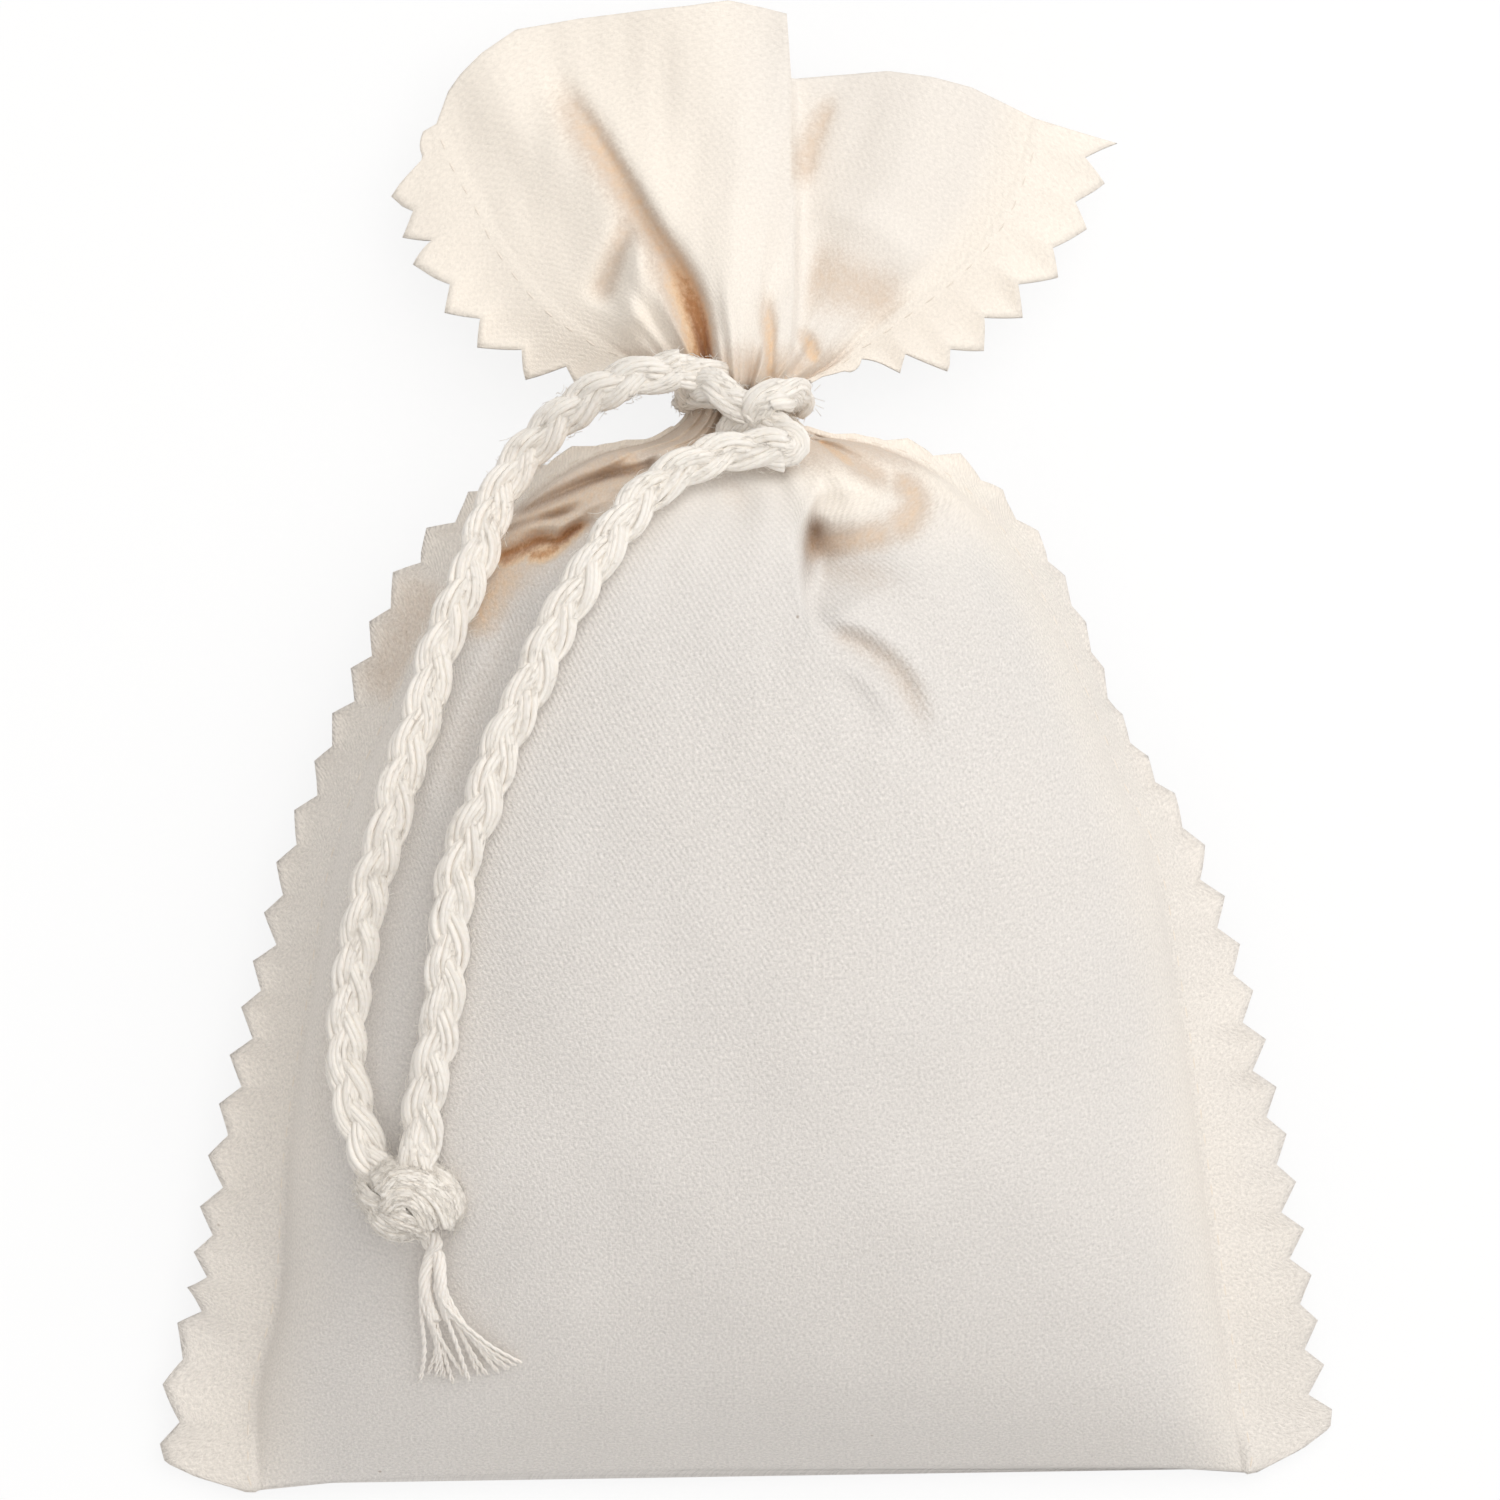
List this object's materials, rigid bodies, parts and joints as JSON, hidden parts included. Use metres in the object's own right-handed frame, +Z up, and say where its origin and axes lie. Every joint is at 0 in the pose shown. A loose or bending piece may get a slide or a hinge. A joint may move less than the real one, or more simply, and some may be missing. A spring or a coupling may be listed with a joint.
{
  "type": "lavender sachet",
  "caption": "Filled cotton twill bag with pinked side seams, gathered at the neck by a plaited cord whose knotted tails end in a short tassel.",
  "frame": {"origin": "on the surface that the sachet lies on, under the middle of the bag's outline", "axes": "+Z up from the surface through the front of the bag, +Y from the bottom fold to the frill, +X to the right seen from the front"},
  "size_m": [0.1168, 0.1495, 0.0366],
  "materials": {
    "cotton_twill": "unbleached cotton twill, matt",
    "cotton_cord": "soft plaited cotton, matt",
    "sewing_thread": "cotton sewing thread",
    "dried_lavender": "loose dried flower buds, matt"
  },
  "bodies": {
    "bag": {"bag_cloth": "cotton_twill", "lavender_filling": "dried_lavender", "left_seam_needle_thread": "sewing_thread", "left_seam_bobbin_thread": "sewing_thread", "right_seam_needle_thread": "sewing_thread", "right_seam_bobbin_thread": "sewing_thread", "cord_neck_turn": "cotton_cord", "neck_knot": "cotton_cord"},
    "cord_loop": {"cord_tail_left": "cotton_cord", "cord_tail_right": "cotton_cord", "end_knot": "cotton_cord"},
    "tassel": {"tassel": "cotton_cord"}
  },
  "joints": [
    {"name": "loop_lift", "type": "hinge", "parent": "bag", "child": "cord_loop", "pos_m": [0, 0.033, 0.025], "axis": [-1, 0, 0], "range_deg": [0, 150], "deforming": ["cord_tail_left", "cord_tail_right"]},
    {"name": "tassel_lift", "type": "hinge", "parent": "cord_loop", "child": "tassel", "pos_m": [-0.031, -0.049, 0.026], "axis": [-1, 0, 0], "range_deg": [0, 75]}
  ]
}
